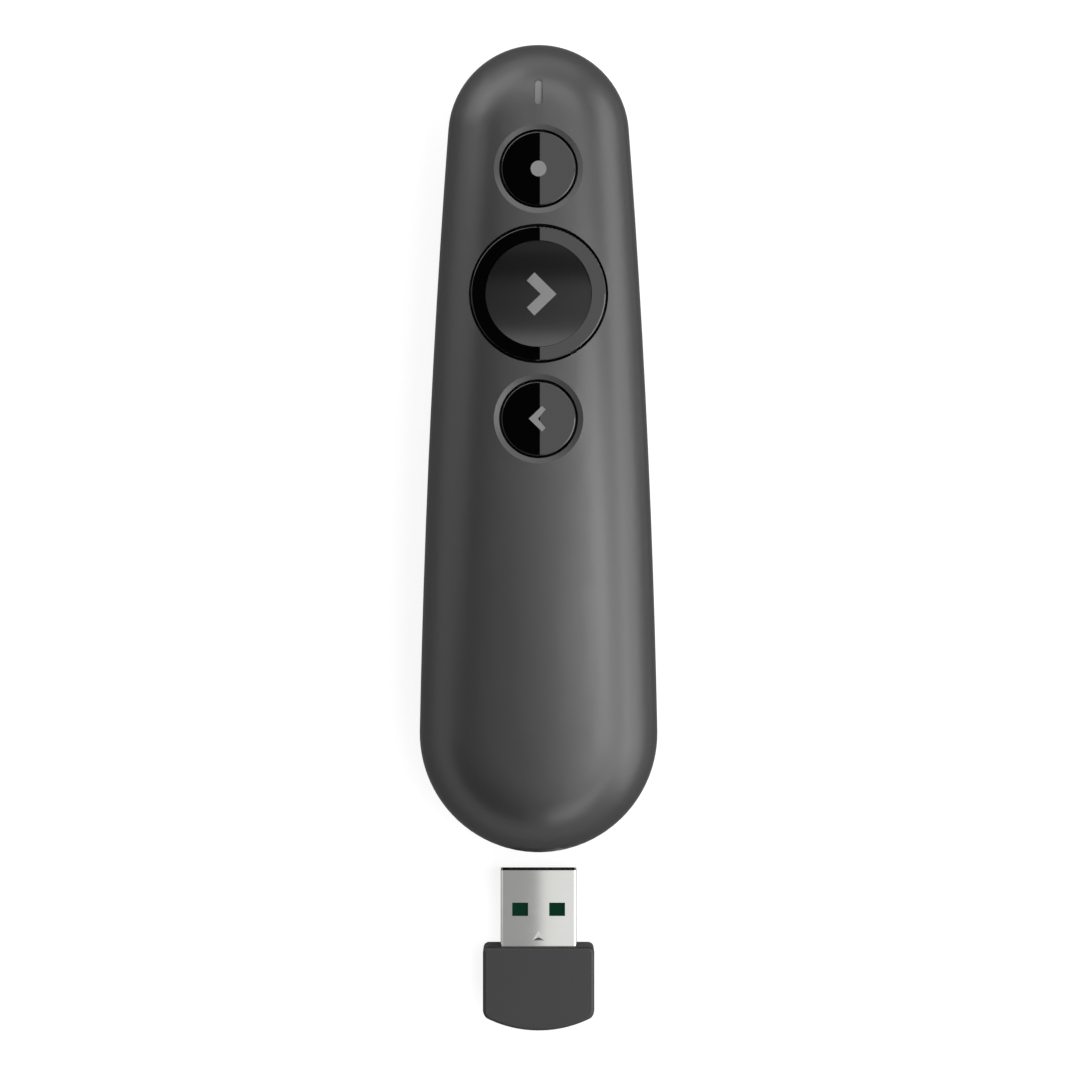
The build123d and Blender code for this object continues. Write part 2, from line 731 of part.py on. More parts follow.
with BuildPart() as laser_diode:
    flange_front_y = barrel_rear_y + diode_flange
    add(rod(0, laser_height, barrel_bore, barrel_rear_y, flange_front_y))
    add(rod(0, laser_height, diode_can_radius, flange_front_y, flange_front_y + diode_can_length))
    for lead_x in (-lead_spread, lead_spread):
        add(rod(lead_x, board_top + lead_radius, lead_radius, board_nose_y - lead_overlap, barrel_rear_y))
write(laser_diode, "laser_diode")

# ---- Cell and its two contacts ----
plate_low = cell_height - cell_radius + plate_lift
plate_high = cell_height + plate_half_width
strip_x = -bay_out

with BuildPart() as battery_cell:
    add(rod(0, cell_height, cell_radius, cell_tail_y, cell_nose_y - cell_nub_length))
    fillet(battery_cell.edges(), cell_edge)
    add(rod(0, cell_height, cell_nub_radius, cell_nose_y - cell_nub_length - cell_edge, cell_nose_y))
write(battery_cell, "battery_cell")

with BuildPart() as positive_contact:
    add(block(-plate_half_width, plate_half_width, cell_nose_y, bay_nose_y, plate_low, plate_high))
    add(block(-strip_tab, strip_tab, cell_nose_y, bay_nose_y, plate_high, board_underside))
write(positive_contact, "positive_contact")

with BuildPart() as negative_contact:
    plate_nose_y = bay_tail_y + plate_thickness
    add(block(-plate_half_width, plate_half_width, bay_tail_y, plate_nose_y, plate_low, plate_high))
    add(block(strip_x, 0, bay_tail_y, plate_nose_y, bay_top, bay_top + strip_height))
    strip_edge = strip_x + plate_thickness
    strip_end_y = board_tail_y + strip_tab
    add(block(strip_x, strip_edge, bay_tail_y, strip_end_y, bay_top, bay_top + strip_height))
    add(block(strip_x, strip_edge, board_tail_y, strip_end_y, bay_top, board_underside))
write(negative_contact, "negative_contact")

with BuildPart() as battery_spring:
    coil_length = spring_length - 2 * spring_wire
    coil_start = (0, plate_nose_y + spring_wire, cell_height)
    with BuildLine():
        coil = Helix(coil_length / spring_turns, coil_length, spring_radius, coil_start, (0, 1, 0))
    with BuildSketch(Plane(origin=coil @ 0, z_dir=coil % 0)):
        Circle(spring_wire)
    sweep(path=coil, is_frenet=True)
write(battery_spring, "battery_spring")


# ---- Screws: the cover screws as one group and the board screws as another ----
def screw(x, y, head_z, length):
    """Pan-head screw driven upwards, its head's top at head_z, with a cross recess."""
    low = head_z - screw_head_height
    with BuildPart() as fastener:
        add(column(x, y, screw_head_radius, low, head_z))
        add(column(x, y, screw_radius, head_z, head_z + length))
        with BuildSketch(Plane.XY.offset(low)):
            with Locations((x, y)):
                Rectangle(2 * screw_radius, 2 * screw_recess)
                Rectangle(2 * screw_recess, 2 * screw_radius)
        extrude(amount=screw_recess_depth, mode=Mode.SUBTRACT)
    return fastener.part


with BuildPart() as cover_screws:
    for x, y in front_screws:
        add(screw(x, y, head_seat_height, front_screw_length))
    for x, y in rear_screws:
        add(screw(x, y, head_seat_height, rear_screw_length))
write(cover_screws, "cover_screws")

with BuildPart() as board_screws:
    for x, y in board_screws_at:
        add(screw(x, y, board_underside, board_screw_length))
write(board_screws, "board_screws")

# ---- Receiver, lying behind the tail with its plug towards the dock ----
tip_y = docked_tip_y - receiver_travel
shoulder_y = docked_shoulder_y - receiver_travel
plug_half = plug_width / 2
plug_top = plug_underside + plug_height

with BuildPart() as receiver_cap:
    with BuildSketch() as cap_plan:
        add(body_outline(-fit_gap))
        with Locations((0, tail_end_y)):
            Rectangle(cap_width, 2 * cap_length, mode=Mode.INTERSECT)
        fillet(cap_plan.vertices().group_by(Axis.Y)[-1], cap_corner_round)
        fillet(cap_plan.vertices().group_by(Axis.Y)[0], cap_tail_round)
    extrude(amount=cap_height)
    fillet(receiver_cap.edges().group_by(Axis.Z)[-1], cap_edge_round)
    add(outer_form, mode=Mode.INTERSECT)
stowed_cap = receiver_cap.part

with BuildPart() as receiver_cap:
    with Locations((0, -receiver_travel, 0)):
        add(stowed_cap)
    add(block(-plug_half, plug_half, shoulder_y - cap_pocket, shoulder_y, plug_underside, plug_top),
        mode=Mode.SUBTRACT)
    add(block(-plug_half, plug_half, shoulder_y - cap_board_pocket, shoulder_y,
              plug_top - plug_sheet - tongue_thickness, plug_top), mode=Mode.SUBTRACT)
write(receiver_cap, "receiver_cap")

with BuildPart() as usb_shell:
    with BuildSketch(Plane.XZ.offset(-tip_y)):
        with Locations((0, cap_height / 2)):
            RectangleRounded(plug_width, plug_height, plug_corner)
            RectangleRounded(plug_width - 2 * plug_sheet, plug_height - 2 * plug_sheet,
                             plug_corner - plug_sheet, mode=Mode.SUBTRACT)
    extrude(amount=plug_length + plug_buried)
    window_y = tip_y - window_from_tip - plug_window_length / 2
    for side in (-plug_window_centre, plug_window_centre):
        add(block(side - plug_window_width / 2, side + plug_window_width / 2,
                  window_y - plug_window_length / 2, window_y + plug_window_length / 2, 0, cap_height),
            mode=Mode.SUBTRACT)
    with BuildSketch(Plane.XY.offset(plug_top)):
        with Locations((0, tip_y - dimple_from_tip - dimple_size / 2)):
            Triangle(a=dimple_size, b=dimple_size, c=dimple_size)
    extrude(amount=-dimple_depth, taper=dimple_taper, mode=Mode.SUBTRACT)
write(usb_shell, "usb_shell")

tongue_half = plug_half - plug_sheet - tongue_side_gap
tongue_top = plug_top - plug_sheet
tongue_low = tongue_top - tongue_thickness
tongue_nose_y = tip_y - tongue_setback

with BuildPart() as receiver_board:
    tongue_tail_y = shoulder_y - cap_board_pocket + tongue_end_gap
    add(block(-tongue_half, tongue_half, tongue_tail_y, tongue_nose_y, tongue_low, tongue_top))
write(receiver_board, "receiver_board")

with BuildPart() as receiver_contacts:
    for contact_x in (-contact_outer, -contact_inner, contact_inner, contact_outer):
        add(block(contact_x - contact_width / 2, contact_x + contact_width / 2,
                  tongue_nose_y - contact_length, tongue_nose_y, tongue_low - contact_thickness,
                  tongue_low))
write(receiver_contacts, "receiver_contacts")

with BuildPart() as receiver_chip:
    chip_centre_y = shoulder_y - receiver_chip_depth
    half = receiver_chip_size / 2
    add(block(-half, half, chip_centre_y - half, chip_centre_y + half,
              tongue_low - receiver_chip_height, tongue_low))
write(receiver_chip, "receiver_chip")
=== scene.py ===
import math

import bmesh
import bpy
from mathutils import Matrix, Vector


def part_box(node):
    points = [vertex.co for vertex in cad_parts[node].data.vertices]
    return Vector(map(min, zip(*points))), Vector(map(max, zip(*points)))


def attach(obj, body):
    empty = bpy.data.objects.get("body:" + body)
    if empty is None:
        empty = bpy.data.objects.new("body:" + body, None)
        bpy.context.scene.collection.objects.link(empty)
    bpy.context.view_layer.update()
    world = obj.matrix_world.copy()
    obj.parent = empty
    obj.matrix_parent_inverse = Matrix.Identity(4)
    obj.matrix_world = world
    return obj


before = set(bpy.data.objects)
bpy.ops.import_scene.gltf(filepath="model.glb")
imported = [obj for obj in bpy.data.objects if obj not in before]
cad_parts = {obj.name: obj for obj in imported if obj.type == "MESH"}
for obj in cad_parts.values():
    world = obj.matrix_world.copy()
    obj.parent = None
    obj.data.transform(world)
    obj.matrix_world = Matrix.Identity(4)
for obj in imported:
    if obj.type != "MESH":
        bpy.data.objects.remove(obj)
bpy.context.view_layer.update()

# Wireless presentation clicker: a graphite handset with gloss black buttons, dressed around the
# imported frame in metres. X is across, +Y runs to the nose, and Z = 0 is the table.
mm = 0.001


# ---- Bottom cover and top cover ----
# Two shells moulded in dark graphite ABS with a fine spark-eroded texture, soft to the touch.
# The bottom one carries the lip, pillars and battery bay, and the top one closes over it.
def join(tree, output, target):
    """Link one socket to another."""
    tree.links.new(output, target)


def group_tree(name, inputs, outputs):
    """Empty shader group with its named sockets, and its input and output nodes."""
    tree = bpy.data.node_groups.new(name, "ShaderNodeTree")
    for label, kind, value in inputs:
        socket = tree.interface.new_socket(label, in_out="INPUT", socket_type=kind)
        socket.default_value = value
    for label, kind in outputs:
        tree.interface.new_socket(label, in_out="OUTPUT", socket_type=kind)
    return tree, tree.nodes.new("NodeGroupInput"), tree.nodes.new("NodeGroupOutput")


def noise(tree, place, detail):
    """Noise texture on object coordinates."""
    texture = tree.nodes.new("ShaderNodeTexNoise")
    texture.inputs["Detail"].default_value = detail
    join(tree, place, texture.inputs["Vector"])
    return texture


def build_grain():
    """Moulded or painted surface: fine grain, slow cloudiness, and the gloss that follows both."""
    tree, given, result = group_tree(
        "surface grain",
        (
            ("Dark", "NodeSocketColor", (0.03, 0.03, 0.03, 1)),
            ("Light", "NodeSocketColor", (0.04, 0.04, 0.04, 1)),
            ("Grain Scale", "NodeSocketFloat", 4000.0),
            ("Cloud Scale", "NodeSocketFloat", 60.0),
            ("Smooth", "NodeSocketFloat", 0.4),
            ("Rough", "NodeSocketFloat", 0.5),
        ),
        (
            ("Colour", "NodeSocketColor"),
            ("Roughness", "NodeSocketFloat"),
            ("Height", "NodeSocketFloat"),
        ),
    )
    place = tree.nodes.new("ShaderNodeTexCoord").outputs["Object"]
    grain = noise(tree, place, 2.0)
    join(tree, given.outputs["Grain Scale"], grain.inputs["Scale"])
    cloud = noise(tree, place, 3.0)
    join(tree, given.outputs["Cloud Scale"], cloud.inputs["Scale"])
    grain_share = 0.5
    both = tree.nodes.new("ShaderNodeMath")
    both.operation = "MULTIPLY_ADD"
    both.inputs[1].default_value = grain_share
    join(tree, grain.outputs["Fac"], both.inputs[0])
    cloud_part = tree.nodes.new("ShaderNodeMath")
    cloud_part.operation = "MULTIPLY"
    cloud_part.inputs[1].default_value = 1 - grain_share
    join(tree, cloud.outputs["Fac"], cloud_part.inputs[0])
    join(tree, cloud_part.outputs["Value"], both.inputs[2])
    colour = tree.nodes.new("ShaderNodeMix")
    colour.data_type = "RGBA"
    join(tree, both.outputs["Value"], colour.inputs["Factor"])
    join(tree, given.outputs["Dark"], colour.inputs["A"])
    join(tree, given.outputs["Light"], colour.inputs["B"])
    rough = tree.nodes.new("ShaderNodeMapRange")
    join(tree, both.outputs["Value"], rough.inputs["Value"])
    join(tree, given.outputs["Smooth"], rough.inputs["To Min"])
    join(tree, given.outputs["Rough"], rough.inputs["To Max"])
    join(tree, colour.outputs["Result"], result.inputs["Colour"])
    join(tree, rough.outputs["Result"], result.inputs["Roughness"])
    join(tree, grain.outputs["Fac"], result.inputs["Height"])
    return tree


surface_grain = build_grain()


def finish(name, dark, light, smooth, rough, grain=4000.0, cloud=60.0, relief=0.0, **shader_values):
    """Material of one finish: the grain group into a plain shader, with its relief in metres."""
    material = bpy.data.materials.new(name)
    material.use_nodes = True
    tree = material.node_tree
    shader = tree.nodes["Principled BSDF"]
    texture = tree.nodes.new("ShaderNodeGroup")
    texture.node_tree = surface_grain
    texture.inputs["Dark"].default_value = (*dark, 1)
    texture.inputs["Light"].default_value = (*light, 1)
    texture.inputs["Grain Scale"].default_value = grain
    texture.inputs["Cloud Scale"].default_value = cloud
    texture.inputs["Smooth"].default_value = smooth
    texture.inputs["Rough"].default_value = rough
    join(tree, texture.outputs["Colour"], shader.inputs["Base Color"])
    join(tree, texture.outputs["Roughness"], shader.inputs["Roughness"])
    if relief:
        bump = tree.nodes.new("ShaderNodeBump")
        bump.inputs["Strength"].default_value = 1.0
        bump.inputs["Distance"].default_value = relief
        join(tree, texture.outputs["Height"], bump.inputs["Height"])
        join(tree, bump.outputs["Normal"], shader.inputs["Normal"])
    for label, value in shader_values.items():
        shader.inputs[label.replace("_", " ").title().replace("Ior", "IOR")].default_value = value
    return material


def dress(material, *names):
    """Give carried-over pieces their finish through their material slots."""
    for name in names:
        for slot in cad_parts[name].material_slots:
            slot.material = material


moulded_relief = 0.004 * mm
cover_finish = finish(
    "graphite cover",
    dark=(0.0155, 0.0155, 0.0157),
    light=(0.0205, 0.0205, 0.0208),
    smooth=0.31,
    rough=0.37,
    grain=5200.0,
    relief=moulded_relief,
)
dress(cover_finish, "bottom_cover", "top_cover")

# ---- Receiver dock ----
# A separate moulding set into the tail, in a paler and more matt plastic than the covers. Its
# pocket takes the plug, and it is open behind and below for the receiver's cap.
dock_finish = finish(
    "dock plastic",
    dark=(0.026, 0.026, 0.027),
    light=(0.034, 0.034, 0.035),
    smooth=0.46,
    rough=0.54,
    relief=moulded_relief,
)
dress(dock_finish, "receiver_dock")

# ---- Battery door ----
# A flat plate in the cover's plastic that turns on two moulded pins at its nose end.
# A raised arrow by its finger grip shows the end to lift.
dress(cover_finish, "battery_door")
door_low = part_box("battery_door")[0]
arrow_setback, arrow_half, arrow_length, arrow_rise = 9 * mm, 1.6 * mm, 2.2 * mm, 0.08 * mm
arrow_y = door_low[1] + arrow_setback
corners = ((-arrow_half, arrow_y + arrow_length), (arrow_half, arrow_y + arrow_length), (0, arrow_y))
arrow = bmesh.new()
flat = arrow.faces.new([arrow.verts.new((x, y, door_low[2])) for x, y in corners])
raised = bmesh.ops.extrude_face_region(arrow, geom=[flat])
tips = [item for item in raised["geom"] if isinstance(item, bmesh.types.BMVert)]
bmesh.ops.translate(arrow, vec=(0, 0, -arrow_rise), verts=tips)
bmesh.ops.recalc_face_normals(arrow, faces=arrow.faces)
arrow_mesh = bpy.data.meshes.new("door_arrow")
arrow.to_mesh(arrow_mesh)
arrow.free()
arrow_mesh.materials.append(cover_finish)
door_arrow = bpy.data.objects.new("door_arrow", arrow_mesh)
bpy.context.scene.collection.objects.link(door_arrow)
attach(door_arrow, "door")

# ---- Cell, spring and contacts ----
# One cell in a printed sleeve, blue with a gold band at its nose end. A coil spring of steel wire
# presses on the other end, and two bent nickel-plated strips lead up to the board.
def build_bands():
    """One colour before a stretch of Y and another after it, blended in between."""
    tree, given, result = group_tree(
        "bands",
        (
            ("First", "NodeSocketColor", (0, 0, 0, 1)),
            ("Second", "NodeSocketColor", (1, 1, 1, 1)),
            ("From", "NodeSocketFloat", 0.0),
            ("To", "NodeSocketFloat", 1.0),
        ),
        (("Colour", "NodeSocketColor"),),
    )
    place = tree.nodes.new("ShaderNodeTexCoord").outputs["Object"]
    parts = tree.nodes.new("ShaderNodeSeparateXYZ")
    join(tree, place, parts.inputs["Vector"])
    share = tree.nodes.new("ShaderNodeMapRange")
    join(tree, parts.outputs["Y"], share.inputs["Value"])
    join(tree, given.outputs["From"], share.inputs["From Min"])
    join(tree, given.outputs["To"], share.inputs["From Max"])
    colour = tree.nodes.new("ShaderNodeMix")
    colour.data_type = "RGBA"
    join(tree, share.outputs["Result"], colour.inputs["Factor"])
    join(tree, given.outputs["First"], colour.inputs["A"])
    join(tree, given.outputs["Second"], colour.inputs["B"])
    join(tree, colour.outputs["Result"], result.inputs["Colour"])
    return tree


lengthwise_bands = build_bands()


def band(material, colour, start, end):
    """Lay a band of another colour over a finish from start to end along Y."""
    tree = material.node_tree
    shader = tree.nodes["Principled BSDF"]
    under = shader.inputs["Base Color"].links[0].from_socket
    bands = tree.nodes.new("ShaderNodeGroup")
    bands.node_tree = lengthwise_bands
    bands.inputs["Second"].default_value = (*colour, 1)
    bands.inputs["From"].default_value = start
    bands.inputs["To"].default_value = end
    join(tree, under, bands.inputs["First"])
    join(tree, bands.outputs["Colour"], shader.inputs["Base Color"])


cell_finish = finish(
    "cell sleeve",
    dark=(0.035, 0.05, 0.11),
    light=(0.045, 0.06, 0.13),
    smooth=0.22,
    rough=0.3,
    cloud=120.0,
)
band_length, band_fade = 12 * mm, 0.1 * mm
band_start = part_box("battery_cell")[1][1] - band_length
band(cell_finish, (0.5, 0.33, 0.1), band_start, band_start + band_fade)
dress(cell_finish, "battery_cell")
spring_finish = finish(
    "spring steel",
    dark=(0.42, 0.42, 0.42),
    light=(0.5, 0.5, 0.5),
    smooth=0.2,
    rough=0.32,
    cloud=500.0,
    metallic=1.0,
)
dress(spring_finish, "battery_spring")
nickel_finish = finish(
    "nickel plate",
    dark=(0.55, 0.53, 0.49),
    light=(0.63, 0.61, 0.57),
    smooth=0.22,
    rough=0.34,
    cloud=300.0,
    metallic=1.0,
)
dress(nickel_finish, "positive_contact", "negative_contact")

# ---- Main board with its switches and chips ----
# A green laminate with three tact switches and their plungers, a radio chip, its crystal, a chip
# antenna and the indicator lamp.
def build_tracks():
    """Copper tracks under solder mask, as a lattice of thin straight runs."""
    tree, given, result = group_tree(
        "tracks",
        (("Mask", "NodeSocketColor", (0, 0, 0, 1)), ("Over Copper", "NodeSocketColor", (1, 1, 1, 1))),
        (("Colour", "NodeSocketColor"),),
    )
    bricks = tree.nodes.new("ShaderNodeTexBrick")
    join(tree, tree.nodes.new("ShaderNodeTexCoord").outputs["Object"], bricks.inputs["Vector"])
    tracks_per_metre, track_share = 400.0, 0.06
    bricks.inputs["Scale"].default_value = tracks_per_metre
    bricks.inputs["Mortar Size"].default_value = track_share
    join(tree, given.outputs["Mask"], bricks.inputs["Color1"])
    join(tree, given.outputs["Mask"], bricks.inputs["Color2"])
    join(tree, given.outputs["Over Copper"], bricks.inputs["Mortar"])
    join(tree, bricks.outputs["Color"], result.inputs["Colour"])
    return tree


copper_tracks = build_tracks()


def lay_tracks(material, over_copper):
    """Lay tracks over a laminate's finish."""
    tree = material.node_tree
    shader = tree.nodes["Principled BSDF"]
    under = shader.inputs["Base Color"].links[0].from_socket
    tracks = tree.nodes.new("ShaderNodeGroup")
    tracks.node_tree = copper_tracks
    tracks.inputs["Over Copper"].default_value = (*over_copper, 1)
    join(tree, under, tracks.inputs["Mask"])
    join(tree, tracks.outputs["Colour"], shader.inputs["Base Color"])


board_finish = finish(
    "green laminate",
    dark=(0.008, 0.055, 0.028),
    light=(0.014, 0.085, 0.04),
    smooth=0.3,
    rough=0.42,
    cloud=400.0,
)
lay_tracks(board_finish, (0.02, 0.13, 0.055))
dress(board_finish, "main_board")
switch_finish = finish(
    "switch case",
    dark=(0.012, 0.012, 0.012),
    light=(0.02, 0.02, 0.02),
    smooth=0.4,
    rough=0.5,
)
dress(switch_finish, "laser_switch", "next_switch", "back_switch")
plunger_finish = finish(
    "plunger nylon",
    dark=(0.3, 0.29, 0.27),
    light=(0.36, 0.35, 0.33),
    smooth=0.42,
    rough=0.5,
)
dress(plunger_finish, "laser_plunger", "next_plunger", "back_plunger")
chip_finish = finish(
    "chip epoxy",
    dark=(0.01, 0.01, 0.011),
    light=(0.018, 0.018, 0.019),
    smooth=0.5,
    rough=0.6,
)
dress(chip_finish, "radio_chip", "receiver_chip")
can_finish = finish(
    "crystal can",
    dark=(0.6, 0.59, 0.55),
    light=(0.66, 0.65, 0.61),
    smooth=0.2,
    rough=0.3,
    metallic=1.0,
)
dress(can_finish, "crystal")
ceramic_finish = finish(
    "antenna ceramic",
    dark=(0.5, 0.48, 0.43),
    light=(0.56, 0.54, 0.49),
    smooth=0.5,
    rough=0.6,
)
dress(ceramic_finish, "antenna")
lamp_finish = finish(
    "lamp resin",
    dark=(0.62, 0.6, 0.45),
    light=(0.7, 0.68, 0.52),
    smooth=0.2,
    rough=0.3,
)
dress(lamp_finish, "status_led")

# ---- Laser module ----
# A turned brass barrel lies on two ribs behind a smoked window in the nose. The diode closes its
# rear end, with two leads on the board, and a glass lens and a black aperture sit in its front.
brass_finish = finish(
    "turned brass",
    dark=(0.5, 0.35, 0.12),
    light=(0.6, 0.43, 0.16),
    smooth=0.22,
    rough=0.34,
    cloud=300.0,
    metallic=1.0,
)
dress(brass_finish, "laser_barrel")
aperture_finish = finish(
    "aperture black",
    dark=(0.006, 0.006, 0.006),
    light=(0.01, 0.01, 0.01),
    smooth=0.5,
    rough=0.6,
)
dress(aperture_finish, "laser_aperture")
lens_finish = finish(
    "lens glass",
    dark=(0.9, 0.92, 0.92),
    light=(0.94, 0.95, 0.95),
    smooth=0.02,
    rough=0.05,
    transmission_weight=1.0,
    ior=1.5,
)
dress(lens_finish, "laser_lens")
diode_finish = finish(
    "diode can",
    dark=(0.6, 0.55, 0.4),
    light=(0.68, 0.62, 0.46),
    smooth=0.2,
    rough=0.3,
    cloud=300.0,
    metallic=1.0,
)
dress(diode_finish, "laser_diode")
window_finish = finish(
    "laser window",
    dark=(0.02, 0.004, 0.005),
    light=(0.03, 0.006, 0.007),
    smooth=0.03,
    rough=0.07,
)
dress(window_finish, "laser_window")

# ---- Light pipe ----
# A smoked polycarbonate guide that leads the lamp's light to a slot ahead of the buttons. Its head
# fills the slot, and a flange stops it under the top cover.
pipe_finish = finish(
    "smoked light pipe",
    dark=(0.105, 0.105, 0.105),
    light=(0.14, 0.14, 0.14),
    smooth=0.36,
    rough=0.44,
)
dress(pipe_finish, "led_light_pipe")

# ---- Buttons ----
# Gloss black caps. The large one carries a satin pad with a finger scoop in a gloss ring. A dot
# and two chevrons are pad-printed on them in pale ink.
def build_polish():
    """Roughness of a part whose faces above a level are polished and the rest left from the mould."""
    tree, given, result = group_tree(
        "polish above",
        (
            ("Polished", "NodeSocketFloat", 0.0),
            ("Moulded", "NodeSocketFloat", 0.6),
            ("Level", "NodeSocketFloat", 0.0),
        ),
        (("Roughness", "NodeSocketFloat"),),
    )
    parts = tree.nodes.new("ShaderNodeSeparateXYZ")
    join(tree, tree.nodes.new("ShaderNodeTexCoord").outputs["Object"], parts.inputs["Vector"])
    above = tree.nodes.new("ShaderNodeMath")
    above.operation = "GREATER_THAN"
    join(tree, parts.outputs["Z"], above.inputs[0])
    join(tree, given.outputs["Level"], above.inputs[1])
    mixed = tree.nodes.new("ShaderNodeMix")
    join(tree, above.outputs["Value"], mixed.inputs["Factor"])
    join(tree, given.outputs["Moulded"], mixed.inputs["A"])
    join(tree, given.outputs["Polished"], mixed.inputs["B"])
    join(tree, mixed.outputs["Result"], result.inputs["Roughness"])
    return tree


polish_above = build_polish()


def polish(material, level, moulded):
    """Keep a finish's gloss above a height only."""
    tree = material.node_tree
    shader = tree.nodes["Principled BSDF"]
    under = shader.inputs["Roughness"].links[0].from_socket
    upper = tree.nodes.new("ShaderNodeGroup")
    upper.node_tree = polish_above
    upper.inputs["Moulded"].default_value = moulded
    upper.inputs["Level"].default_value = level
    join(tree, under, upper.inputs["Polished"])
    join(tree, upper.outputs["Roughness"], shader.inputs["Roughness"])


gloss_finish = finish(
    "button gloss",
    dark=(0.0005, 0.0005, 0.0005),
    light=(0.0009, 0.0009, 0.0009),
    smooth=0.0,
    rough=0.01,
    cloud=200.0,
)
caps = ("laser_button", "back_button", "next_button_ring")
polished_depth = 0.6 * mm
polish(gloss_finish, min(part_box(cap)[1][2] for cap in caps) - polished_depth, moulded=0.7)
dress(gloss_finish, *caps)
satin_relief = 0.0005 * mm
pad_finish = finish(
    "pad satin",
    dark=(0.0008, 0.0008, 0.0008),
    light=(0.0014, 0.0014, 0.0014),
    smooth=0.17,
    rough=0.21,
    grain=6000.0,
    relief=satin_relief,
    specular_ior_level=0.34,
)
dress(pad_finish, "next_button_pad")
ink_finish = finish(
    "pale ink",
    dark=(0.1, 0.1, 0.1),
    light=(0.125, 0.125, 0.125),
    smooth=0.34,
    rough=0.42,
    grain=9000.0,
)

ink_depth = 0.02 * mm
dish_depth, dish_half = 0.8 * mm, 8.1 * mm
dish_radius = (dish_half**2 + dish_depth**2) / (2 * dish_depth)


def flat_face(node):
    """Height of a flat cap's face anywhere along Y."""
    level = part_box(node)[1][2]
    return lambda y: level


def dished_face(y):
    """Height of the pad's scoop, which is curved along Y only."""
    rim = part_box("next_button_ring")[1][2]
    return rim - dish_depth + dish_radius - math.sqrt(dish_radius**2 - y**2)


def print_mark(name, patches, centre_y, face_height, body):
    """Ink layer made of four-sided patches in millimetres, divided to follow the cap's face."""
    steps, weld_gap = 12, 0.001 * mm
    layer = bmesh.new()
    for start_left, start_right, end_left, end_right in patches:
        rows = []
        for step in range(steps + 1):
            share = step / steps
            row = []
            for start, end in ((start_left, end_left), (start_right, end_right)):
                x = (start[0] + share * (end[0] - start[0])) * mm
                y = (start[1] + share * (end[1] - start[1])) * mm + centre_y
                row.append(layer.verts.new((x, y, face_height(y))))
            rows.append(row)
        for low, high in zip(rows, rows[1:]):
            layer.faces.new((low[0], low[1], high[1], high[0]))
    bmesh.ops.remove_doubles(layer, verts=layer.verts, dist=weld_gap)
    bmesh.ops.recalc_face_normals(layer, faces=layer.faces)
    raised = bmesh.ops.extrude_face_region(layer, geom=list(layer.faces))
    tops = [item for item in raised["geom"] if isinstance(item, bmesh.types.BMVert)]
    bmesh.ops.translate(layer, vec=(0, 0, ink_depth), verts=tops)
    bmesh.ops.recalc_face_normals(layer, faces=layer.faces)
    mesh = bpy.data.meshes.new(name)
    layer.to_mesh(mesh)
    layer.free()
    mesh.materials.append(ink_finish)
    mark = bpy.data.objects.new(name, mesh)
    bpy.context.scene.collection.objects.link(mark)
    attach(mark, body)


def chevron(outer_end, inner_end, tip_x, inner_x):
    """Two arms that meet in a mitred tip on the centre line."""
    tip, notch = (tip_x, 0), (inner_x, 0)
    mirrored_outer, mirrored_inner = (outer_end[0], -outer_end[1]), (inner_end[0], -inner_end[1])
    return ((outer_end, inner_end, tip, notch), (mirrored_outer, mirrored_inner, tip, notch))


def dot(radius):
    """Round dot as a row of thin patches across the disc."""
    steps = 16
    turns = [math.pi * step / steps for step in range(steps + 1)]
    rim = [(radius * math.cos(turn), radius * math.sin(turn)) for turn in turns]
    return [
        ((x_a, y_a), (x_a, -y_a), (x_b, y_b), (x_b, -y_b)) for (x_a, y_a), (x_b, y_b) in zip(rim, rim[1:])
    ]


button_pitch = 19 * mm
print_mark(
    "laser_dot",
    dot(radius=1.2),
    centre_y=button_pitch,
    face_height=flat_face("laser_button"),
    body="laser_key",
)
print_mark(
    "next_chevron",
    chevron(outer_end=(-0.64, 3.29), inner_end=(-1.79, 2.05), tip_x=2.73, inner_x=0.35),
    centre_y=0,
    face_height=dished_face,
    body="next_key",
)
print_mark(
    "back_chevron",
    chevron(outer_end=(0.53, 1.94), inner_end=(1.06, 1.41), tip_x=-1.49, inner_x=-0.1),
    centre_y=-button_pitch,
    face_height=flat_face("back_button"),
    body="back_key",
)

# ---- Screws ----
# Pan-head cross-recess screws in plated steel. Four join the covers from below, and two hold the
# board up against bosses in the top cover.
screw_finish = finish(
    "screw steel",
    dark=(0.4, 0.4, 0.41),
    light=(0.5, 0.5, 0.51),
    smooth=0.25,
    rough=0.36,
    cloud=600.0,
    metallic=1.0,
)
dress(screw_finish, "cover_screws", "board_screws")

# ---- Receiver ----
# A folded steel plug shell round a green laminate tongue with gold contacts and a chip, in a matt
# plastic cap. The cap's outside follows the handset's tail, where it stows.
plug_finish = finish(
    "plug steel",
    dark=(0.56, 0.56, 0.54),
    light=(0.62, 0.62, 0.6),
    smooth=0.03,
    rough=0.06,
    cloud=400.0,
    metallic=1.0,
)
dress(plug_finish, "usb_shell")
receiver_finish = finish(
    "receiver plastic",
    dark=(0.0085, 0.0085, 0.0085),
    light=(0.0125, 0.0125, 0.0125),
    smooth=0.44,
    rough=0.52,
    relief=moulded_relief,
    specular_ior_level=0.36,
)
dress(receiver_finish, "receiver_cap")
# The tongue's green laminate is darkened far below the main board's with painted shade, standing in for the
# shade inside the plug shell.
tongue_finish_painted_shade = finish(
    "receiver laminate with painted shade",
    dark=(0.0006, 0.014, 0.006),
    light=(0.001, 0.026, 0.011),
    smooth=0.3,
    rough=0.42,
    cloud=400.0,
    specular_ior_level=0.03,
)
dress(tongue_finish_painted_shade, "receiver_board")
gold_finish = finish(
    "contact gold",
    dark=(0.75, 0.55, 0.2),
    light=(0.82, 0.6, 0.24),
    smooth=0.16,
    rough=0.26,
    cloud=500.0,
    metallic=1.0,
)
dress(gold_finish, "receiver_contacts")

